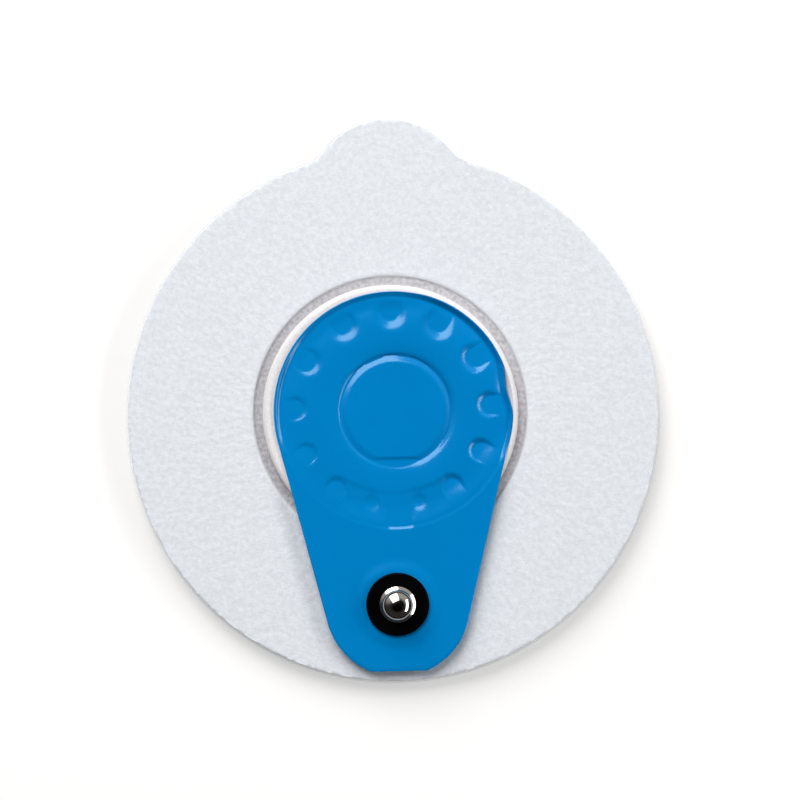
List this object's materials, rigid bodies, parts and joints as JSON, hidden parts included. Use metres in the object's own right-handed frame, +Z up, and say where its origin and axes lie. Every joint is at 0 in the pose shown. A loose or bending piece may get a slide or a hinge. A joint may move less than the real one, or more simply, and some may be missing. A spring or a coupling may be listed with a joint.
{
  "type": "ecg electrode",
  "caption": "Disposable adhesive ECG electrode: round nonwoven backing with a lift tab, foam-ringed gel well under a formed blue cover film, offset press stud, on its release liner.",
  "frame": {"origin": "on the face that the electrode rests on, below the gel well, on the mid plane of the backing", "axes": "+Z up through the snap side, +Y towards the lift tab, +X to the right seen from above with the tab at the top"},
  "size_m": [0.068, 0.072, 0.0077],
  "materials": {
    "clear_film": "gloss",
    "nonwoven": "matte",
    "white_foam": "satin",
    "gel_sponge": "gloss",
    "silver_coat": "satin",
    "blue_film": "satin",
    "black_plastic": "satin",
    "nickel_plate": "polished"
  },
  "bodies": {
    "root": {"release_liner": "clear_film", "backing": "nonwoven", "foam_ring": "white_foam", "gel_sponge": "gel_sponge", "sensor_strip": "silver_coat", "cover": "blue_film", "stud_washer": "black_plastic", "snap_stud": "nickel_plate", "snap_eyelet": "nickel_plate"}
  },
  "joints": []
}
